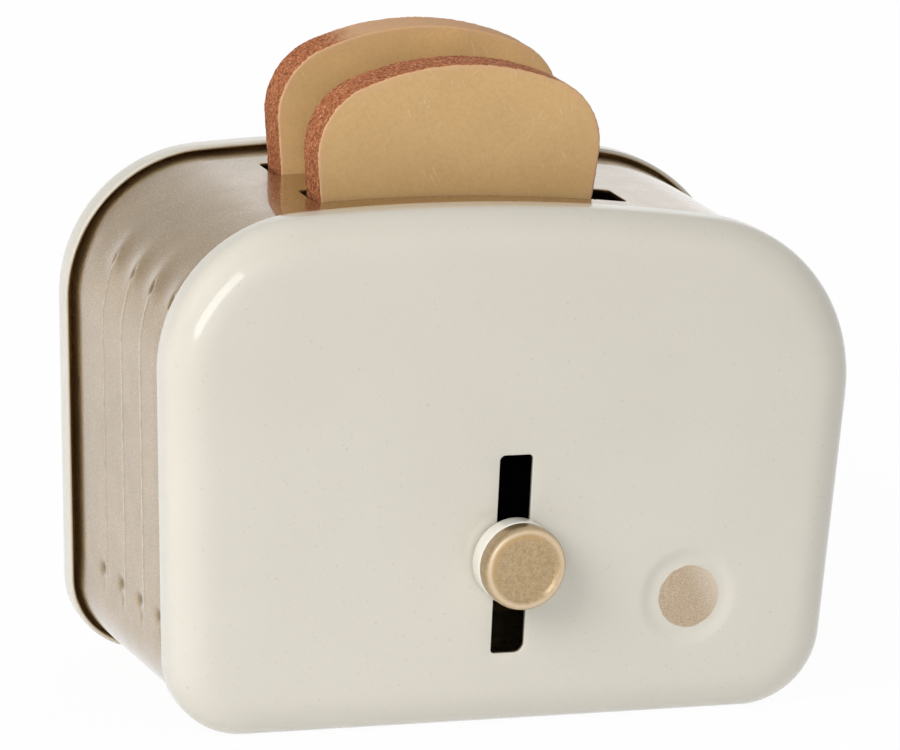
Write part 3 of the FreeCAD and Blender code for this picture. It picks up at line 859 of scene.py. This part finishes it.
class Nodes:
    """Short calls for building one node tree."""

    def __init__(self, tree):
        self.tree = tree

    def add(self, kind, inputs=None, **settings):
        node = self.tree.nodes.new("ShaderNode" + kind)
        for key, value in settings.items():
            setattr(node, key, value)
        for key, value in (inputs or {}).items():
            self.give(node.inputs[key], value)
        return node

    def give(self, socket, value):
        if isinstance(value, bpy.types.NodeSocket):
            self.tree.links.new(value, socket)
        else:
            socket.default_value = value

    def spread(self, value, low, high, to_low=0.0, to_high=1.0):
        """Value from one range to another, smoothly and without running over."""
        node = self.add("MapRange", {0: value, 1: low, 2: high, 3: to_low, 4: to_high},
                        interpolation_type="SMOOTHSTEP")
        return node.outputs[0]

    def math(self, operation, first, second=0.0):
        return self.add("Math", {0: first, 1: second}, operation=operation).outputs[0]

    def times(self, first, second):
        return self.math("MULTIPLY", first, second)


class Paint(Nodes):
    """One material, with its places in millimetres."""

    def __init__(self, name):
        self.material = bpy.data.materials.new(name)
        self.material.use_nodes = True
        super().__init__(self.material.node_tree)
        self.shader = self.tree.nodes["Principled BSDF"]
        self.place = self.scaled(self.add("TexCoord").outputs["Object"], (1000, 1000, 1000))

    def set(self, **values):
        for key, value in values.items():
            self.give(self.shader.inputs[key.replace("_", " ")], value)

    def scaled(self, place, sizes):
        """Place multiplied along each axis."""
        return self.add("VectorMath", {0: place, 1: sizes}, operation="MULTIPLY").outputs[0]

    def noise(self, grain, detail=2.0, place=None, rough=0.5):
        """Noise whose grain is given in millimetres."""
        node = self.add("TexNoise", {"Vector": place or self.place, "Scale": 1 / grain,
                                               "Detail": detail, "Roughness": rough})
        return node.outputs["Fac"]

    def patches(self, grain, detail, low=0.0, high=1.0):
        """Soft patches between two values."""
        return self.spread(self.noise(grain, detail), 0.3, 0.7, low, high)

    def wobble(self, value, grain, detail, size):
        """Value with noise added, whose full swing is a size."""
        noise = self.times(self.math("SUBTRACT", self.noise(grain, detail), 0.5), size)
        return self.math("ADD", value, noise)

    def mix(self, factor, first, second):
        """Mix of two colours."""
        node = self.add("Mix", {0: factor, 6: self.colour(first), 7: self.colour(second)},
                        data_type="RGBA")
        return node.outputs[2]

    @staticmethod
    def colour(value):
        return value if isinstance(value, bpy.types.NodeSocket) else (*value, 1.0)

    def around(self, x, z, middle_x, middle_z):
        """Distance from a middle in the plane of the face, with its two parts."""
        across = self.math("SUBTRACT", x, middle_x)
        up = self.math("SUBTRACT", z, middle_z)
        squares = self.math("ADD", self.times(across, across), self.times(up, up))
        return self.math("SQRT", squares), across, up

    def ring(self, radius, middle, width):
        """One on a circle, falling to zero within a width on both sides."""
        away = self.math("ABSOLUTE", self.math("SUBTRACT", radius, middle))
        return self.spread(away, 0.0, width, 1.0, 0.0)

    def slanted(self, x, z, right, up):
        """Place squeezed along a slanted line on the face, for hair-like marks."""
        size = math.hypot(right, up)
        right, up = right / size, up / size
        along = self.math("ADD", self.times(x, right), self.times(z, up))
        across = self.math("SUBTRACT", self.times(x, up), self.times(z, right))
        return self.add("CombineXYZ", {0: self.times(along, 0.07), 1: across}).outputs[0]

    def bump(self, height, distance, strength=1.0, under=None):
        """Bump whose full height is a distance in millimetres."""
        inputs = {"Height": height, "Distance": distance * MM, "Strength": strength}
        if under is not None:
            inputs["Normal"] = under
        return self.add("Bump", inputs).outputs["Normal"]

    def shade(self):
        """The shade carried by the mesh's points."""
        return self.add("Attribute", attribute_name=SHADE).outputs["Fac"]

    def separate(self):
        return self.add("SeparateXYZ", {0: self.place}).outputs


def enamel_paint(name, disc=False, upper=ENAMEL_COLOUR, lower=ENAMEL_LIT_FOOT):
    """Gloss cream enamel with faint specks, brown where hidden, and painted light that makes it paler
    towards the foot. One cover also has the painted disc.
    """
    paint = Paint(name)
    z = paint.separate()[2]
    # Painted light: the enamel goes paler towards the foot.
    base = paint.mix(paint.spread(paint.wobble(z, 14.0, 2.0, 25.0), 2.0, 50.0), lower, upper)
    specks = paint.spread(paint.noise(0.33, 1.0), 0.70, 0.78)
    base = paint.mix(paint.times(specks, 0.45), base, ENAMEL_SPECK)
    grain = paint.noise(0.11, 2.0)
    base = paint.mix(paint.spread(grain, 0.3, 0.7, 0.0, 0.16), base, ENAMEL_GRAIN)
    metal = 0.0
    if disc:
        inside, metal_colour = painted_disc(paint)
        base = paint.mix(inside, base, metal_colour)
        metal = paint.times(inside, 0.9)
    hidden = paint.shade()
    brown = paint.mix(paint.patches(3.0, 3.0), INSIDE_COLOUR, INSIDE_DARK)
    base = paint.mix(hidden, base, brown)
    metal = paint.math("MAXIMUM", metal, paint.times(hidden, 0.6))
    rough = paint.patches(2.5, 3.0, 0.30, 0.40)
    paint.set(Base_Color=base, Metallic=metal, Roughness=rough, Coat_Roughness=0.07)
    paint.set(Coat_Weight=paint.spread(hidden, 0.0, 1.0, 1.0, 0.3))
    ripple = paint.bump(paint.noise(1.6, 2.0), 0.004, 0.5)
    paint.set(Normal=paint.bump(grain, 0.004, 0.5, ripple), Coat_Normal=ripple)
    return paint.material


def painted_disc(paint):
    """Share and colour of the metallic disc in the dimple, with a slightly uneven edge and a painted
    highlight towards its upper right.
    """
    x, _, z = paint.separate()
    radius, across, up = paint.around(x, z, DISC_X / MM, DISC_Z / MM)
    radius = paint.wobble(radius, 1.1, 3.0, 0.3)
    inside = paint.spread(radius, DISC_RADIUS / MM - 0.06, DISC_RADIUS / MM + 0.06, 1.0, 0.0)
    sparkle = paint.spread(paint.noise(0.10, 1.0), 0.35, 0.7)
    colour = paint.mix(sparkle, DISC_DARK, DISC_COLOUR)
    # Painted highlight: the disc goes paler towards its upper right.
    toward_highlight = paint.math("ADD", across, paint.times(up, 0.5))
    return inside, paint.mix(paint.spread(toward_highlight, 0.0, 4.2, 0.0, 0.5), colour, DISC_HIGHLIGHT)


def lacquer_base(paint, spark):
    """Champagne colour with fine metal grain, and the grain itself."""
    base = paint.mix(paint.patches(9.0, 2.0, 0.0, 0.3), LACQUER_COLOUR, LACQUER_DARK)
    grain = paint.noise(0.12, 2.0)
    base = paint.mix(paint.spread(grain, 0.38, 0.62, 0.0, 0.65), base, LACQUER_DARK)
    base = paint.mix(paint.spread(paint.noise(0.14, 0.0), 0.60, 0.76, 0.0, spark), base, LACQUER_SPARK)
    return base, grain


def band_paint(name):
    """Gloss champagne lacquer, with a painted highlight along the creases and painted shade in the slits and
    pits.
    """
    paint = Paint(name)
    base, grain = lacquer_base(paint, 0.5)
    # Painted highlight along the creases where the shade is positive, painted shade in the slits and pits
    # where it is negative.
    crease_highlight = paint.math("MAXIMUM", paint.shade(), 0.0)
    crease_highlight = paint.times(crease_highlight, paint.spread(paint.noise(0.9, 3.0), 0.3, 0.6, 0.4, 0.8))
    base = paint.mix(crease_highlight, base, CREASE_HIGHLIGHT_COLOUR)
    crease_end_shade = paint.math("MAXIMUM", paint.times(paint.shade(), -1.0), 0.0)
    base = paint.mix(crease_end_shade, base, CREASE_END_SHADE_COLOUR)
    metal = paint.spread(crease_highlight, 0.0, 1.0, 0.95, 0.2)
    rough = paint.patches(3.0, 3.0, 0.26, 0.34)
    coat = paint.spread(crease_end_shade, 0.0, 1.0, 1.0, 0.25)
    paint.set(Base_Color=base, Metallic=metal, Roughness=rough, Coat_Weight=coat, Coat_Roughness=0.03,
              Coat_IOR=1.6)
    ripple = paint.bump(paint.noise(3.0, 0.0), 0.003, 0.3)
    paint.set(Normal=paint.bump(grain, 0.03, 0.7, ripple), Coat_Normal=ripple)
    return paint.material


def knob_paint(name):
    """The same lacquer, duller, on the turned knob, with a painted amber reflection on the upper left of its
    rim and a painted highlight on its crest.
    """
    paint = Paint(name)
    base, grain = lacquer_base(paint, 0.35)
    base = paint.mix(paint.spread(paint.noise(0.5, 3.0), 0.3, 0.75, 0.05, 0.3), base, LACQUER_SPARK)
    x, _, z = paint.separate()
    radius, across, up = paint.around(x, z, 0.0, LEVER_Z / MM)
    # Painted amber reflection on the upper left of the rim, and a painted highlight on the crest.
    upper_left = paint.spread(paint.math("SUBTRACT", up, across), -1.0, 4.0)
    amber = paint.times(paint.ring(radius, KNOB_AMBER / MM, 0.45), upper_left)
    crest = paint.ring(radius, KNOB_CREST / MM, 0.5)
    base = paint.mix(paint.times(crest, 0.7), base, KNOB_CREST_HIGHLIGHT)
    base = paint.mix(paint.times(amber, 0.7), base, AMBER_REFLECTION)
    rough = paint.patches(1.5, 3.0, 0.40, 0.48)
    paint.set(Base_Color=base, Metallic=0.85, Roughness=rough, Coat_Weight=0.5, Coat_Roughness=0.15)
    ripple = paint.bump(paint.noise(0.9, 2.0), 0.005, 0.5)
    paint.set(Normal=paint.bump(grain, 0.015, 0.6, ripple), Coat_Normal=ripple)
    return paint.material


def bread_paint(name, middle, fade, face_colour):
    """Painted tan faces with fine scratches, and a rough red-brown crust that fades to the right."""
    paint = Paint(name)
    x, y, z = paint.separate()
    from_middle = paint.math("ABSOLUTE", paint.math("SUBTRACT", y, middle / MM))
    from_middle = paint.wobble(from_middle, 0.5, 3.0, 0.26)
    face = paint.spread(from_middle, SLICE_HALF - 0.14, SLICE_HALF - 0.06)

    tan = paint.mix(paint.patches(9.0, 3.0), face_colour, BREAD_TAN_LOW)
    tan = paint.mix(paint.spread(paint.noise(0.3, 3.0), 0.35, 0.75, 0.0, 0.35), tan, BREAD_TAN_DARK)
    for along, patch in (((1.0, 1.0), 3.5), ((1.0, -2.0), 4.5), ((-0.3, 1.0), 5.0)):
        hairs = paint.noise(0.16, 1.0, paint.slanted(x, z, *along))
        patches = paint.spread(paint.noise(patch, 2.0), 0.52, 0.74)
        scratch = paint.times(paint.spread(hairs, 0.66, 0.74), patches)
        tan = paint.mix(paint.times(scratch, 0.55), tan, BREAD_SCRATCH)
    ragged = paint.patches(1.2, 3.0, -0.25, 0.25)
    near = paint.spread(paint.math("ADD", paint.shade(), ragged), 0.15, 1.0, 0.0, 0.6)
    tan = paint.mix(near, tan, BREAD_PINK)

    speckle = paint.noise(0.36, 3.0, rough=0.7)
    crust = paint.mix(paint.spread(speckle, 0.36, 0.60), CRUST_DARK, CRUST_COLOUR)
    crust = paint.mix(paint.spread(paint.noise(0.26, 1.0), 0.56, 0.70, 0.0, 0.8), crust, CRUST_PALE)
    low, high = fade
    faded = paint.spread(paint.wobble(x, 1.5, 3.0, 3.0), low, high, 0.0, 0.9)
    crust = paint.mix(faded, crust, CRUST_FADED)
    base = paint.mix(face, crust, tan)
    rough = paint.spread(face, 0.0, 1.0, 0.8, 0.42)
    paint.set(Base_Color=base, Roughness=rough, Specular_IOR_Level=0.3)
    dents = paint.times(speckle, paint.spread(face, 0.0, 1.0, 1.0, 0.03))
    paint.set(Normal=paint.bump(dents, 0.13, 0.9))
    return paint.material


def steel_paint(name):
    """Plain drawn steel with faint lengthwise marks."""
    paint = Paint(name)
    marks = paint.noise(0.25, 3.0, paint.scaled(paint.place, (1.0, 1.0, 0.08)))
    base = paint.mix(paint.spread(paint.noise(1.8, 3.0), 0.35, 0.7), STEEL_COLOUR, STEEL_DARK)
    rough = paint.spread(marks, 0.3, 0.7, 0.28, 0.45)
    paint.set(Base_Color=base, Metallic=1.0, Roughness=rough)
    paint.set(Normal=paint.bump(marks, 0.008, 0.5))
    return paint.material


def clouded_paint(name, colours, rough, **settings):
    """Two colours in soft patches on a faintly uneven surface."""
    paint = Paint(name)
    base = paint.mix(paint.patches(1.2, 3.0), *colours)
    paint.set(Base_Color=base, Roughness=paint.patches(0.4, 2.0, *rough), **settings)
    paint.set(Normal=paint.bump(paint.noise(0.2, 2.0), 0.01, 0.4))
    return paint.material


def slot_shade_paint(name):
    """Blackened plate, dull and nearly lightless: painted shade for the dark seen through the lever slot."""
    return clouded_paint(name, (SLOT_SHADE_BLACK, SLOT_SHADE_GREY), (0.65, 0.8), Specular_IOR_Level=0.0)


def nylon_paint(name):
    """Natural nylon, slightly clouded."""
    return clouded_paint(name, (NYLON_COLOUR, NYLON_DARK), (0.42, 0.55),
                         Subsurface_Weight=0.15, Subsurface_Scale=0.001)


def nodes_in(slot):
    """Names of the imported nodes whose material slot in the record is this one."""
    return [part["node"] for part in frame["record"]["subparts"] if part["material_slot"] == slot]


def paint_nodes(names, material):
    """Gives carried-over parts their finish."""
    for name in names:
        slots = frame["nodes"][name].data.materials
        slots.clear()
        slots.append(material)


def white_for_eyes(nodes, plain, white, strength):
    """Mix of a plain shader with white light that only eyes, gloss and glass see."""
    path = nodes.add("LightPath").outputs
    seen = nodes.math("MAXIMUM", path["Is Camera Ray"], path["Is Glossy Ray"])
    seen = nodes.math("MAXIMUM", seen, path["Is Transmission Ray"])
    share = nodes.times(seen, strength)
    return nodes.add("MixShader", {0: share, 1: plain, 2: white}).outputs[0]


def room_level(nodes):
    """Brightness of the room: plain white for eyes, dimmer overhead and to the left for gloss."""
    place = nodes.add("TexCoord").outputs["Generated"]
    right, _, up = nodes.add("SeparateXYZ", {0: place}).outputs
    climb = nodes.math("SUBTRACT", up, nodes.times(right, 0.5))
    gloss = nodes.spread(climb, ROOM_WHITE_BELOW, ROOM_GREY_ABOVE, 1.0, ROOM_GREY)
    eyes = nodes.add("LightPath").outputs["Is Camera Ray"]
    return nodes.math("MAXIMUM", gloss, eyes)


def make_world():
    world = bpy.data.worlds.new("studio")
    bpy.context.scene.world = world
    world.use_nodes = True
    nodes = Nodes(world.node_tree)
    dim = nodes.tree.nodes["Background"]
    nodes.give(dim.inputs[0], WHITE)
    nodes.give(dim.inputs[1], WORLD_LEVEL)
    white = nodes.add("Background", {0: WHITE, 1: room_level(nodes)})
    mix = white_for_eyes(nodes, dim.outputs[0], white.outputs[0], 1.0)
    nodes.give(nodes.tree.nodes["World Output"].inputs[0], mix)


def floor_paint(name):
    """Matt white that looks evenly lit to eyes, yet takes the object's shadow."""
    paint = Paint(name)
    paint.set(Base_Color=FLOOR_COLOUR, Roughness=0.9)
    light = paint.add("Emission", {0: WHITE})
    mix = white_for_eyes(paint, paint.shader.outputs[0], light.outputs[0], FLOOR_WHITE)
    paint.give(paint.tree.nodes["Material Output"].inputs[0], mix)
    return paint.material


def make_floor():
    mesh = bmesh.new()
    corners = ((-1, -1), (1, -1), (1, 1), (-1, 1))
    mesh.faces.new([mesh.verts.new((x * FLOOR_REACH, y * FLOOR_REACH, 0)) for x, y in corners])
    data = bpy.data.meshes.new("floor")
    mesh.to_mesh(data)
    mesh.free()
    data.materials.append(floor_paint("floor_white"))
    new_object("floor", data)


def make_lamp(name, place, aim, width, height, power, spin=0.0):
    """Soft rectangular lamp that points from one place at another."""
    data = bpy.data.lights.new(name, "AREA")
    data.shape = "RECTANGLE"
    data.size = width
    data.size_y = height
    data.energy = power
    lamp = new_object(name, data)
    direction = Vector(aim) - Vector(place)
    turn = direction.to_track_quat("-Z", "Y").to_matrix() @ Matrix.Rotation(spin, 3, "Z")
    lamp.matrix_world = Matrix.Translation(Vector(place)) @ turn.to_4x4()
    return lamp


def make_camera():
    data = bpy.data.cameras.new("camera")
    data.sensor_width = 36.0
    data.sensor_fit = "HORIZONTAL"
    data.lens = CAMERA_LENS
    data.clip_start = 0.05
    data.clip_end = 20.0
    camera = new_object("camera", data)
    forward = Vector((math.sin(CAMERA_YAW) * math.cos(CAMERA_PITCH),
                      math.cos(CAMERA_YAW) * math.cos(CAMERA_PITCH), -math.sin(CAMERA_PITCH)))
    right = forward.cross(Vector((0, 0, 1))).normalized()
    up = right.cross(forward)
    right_rolled = right * math.cos(CAMERA_ROLL) + up * math.sin(CAMERA_ROLL)
    up_rolled = up * math.cos(CAMERA_ROLL) - right * math.sin(CAMERA_ROLL)
    turn = Matrix((right_rolled, up_rolled, -forward)).transposed()
    camera.matrix_world = Matrix.Translation(CAMERA_PLACE) @ turn.to_4x4()
    bpy.context.scene.camera = camera


def make_pieces():
    make_cover("front_cover_shell", "front_cover", FRONT_Y, 1, True, enamel_paint("cream_enamel_disc", True))
    make_cover("back_cover_shell", "back_cover", BACK_Y, -1, False, enamel_paint("cream_enamel"))
    make_band(band_paint("champagne_band"))
    front_y, back_y = bread_slot_ys()
    make_slice("bread_slice_front", "toast_front", "slice_front",
               bread_paint("bread_front", front_y, FADE_FRONT, BREAD_TAN))
    # The back slice's tan is more orange, and painted lighter against the front slice's shade.
    make_slice("bread_slice_back", "toast_back", "slice_back",
               bread_paint("bread_back", back_y, FADE_BACK, BREAD_TAN_BACK_LIT))
    make_knob(knob_paint("champagne_knob"))
    make_collar(enamel_paint("collar_enamel", False, COLLAR_CREAM, COLLAR_CREAM))
    paint_nodes(nodes_in("steel"), steel_paint("plain_steel"))
    paint_nodes(nodes_in("nylon"), nylon_paint("natural_nylon"))
    # Painted shade: the inner plate and washer are near-lightless black for the dark in the lever slot.
    paint_nodes(("carriage_frame", "slot_washer"), slot_shade_paint("blackened_plate_slot_shade"))


def make_lamps():
    """Three soft lamps that gloss doesn't show, and one low lamp that draws the streak on the corner."""
    left = make_lamp("left", (-0.53, -0.34, 0.40), aim=(0, 0, 0.04), width=0.40, height=0.40, power=3.9)
    make_lamp("low_front", (-0.214, -0.58, 0.13), aim=(-0.03, -0.016, 0.042), width=0.34, height=0.17,
              power=0.68, spin=math.radians(45))
    top = make_lamp("top", (0.05, -0.15, 0.75), aim=(0, 0, 0.03), width=0.55, height=0.45, power=0.6)
    back = make_lamp("back", (0.30, 0.60, 0.42), aim=(0, 0, 0.03), width=0.45, height=0.45, power=1.6)
    for lamp in (left, top, back):
        lamp.visible_glossy = False


make_world()
make_floor()
make_pieces()
make_lamps()
make_camera()
bpy.context.scene.view_settings.view_transform = "Standard"
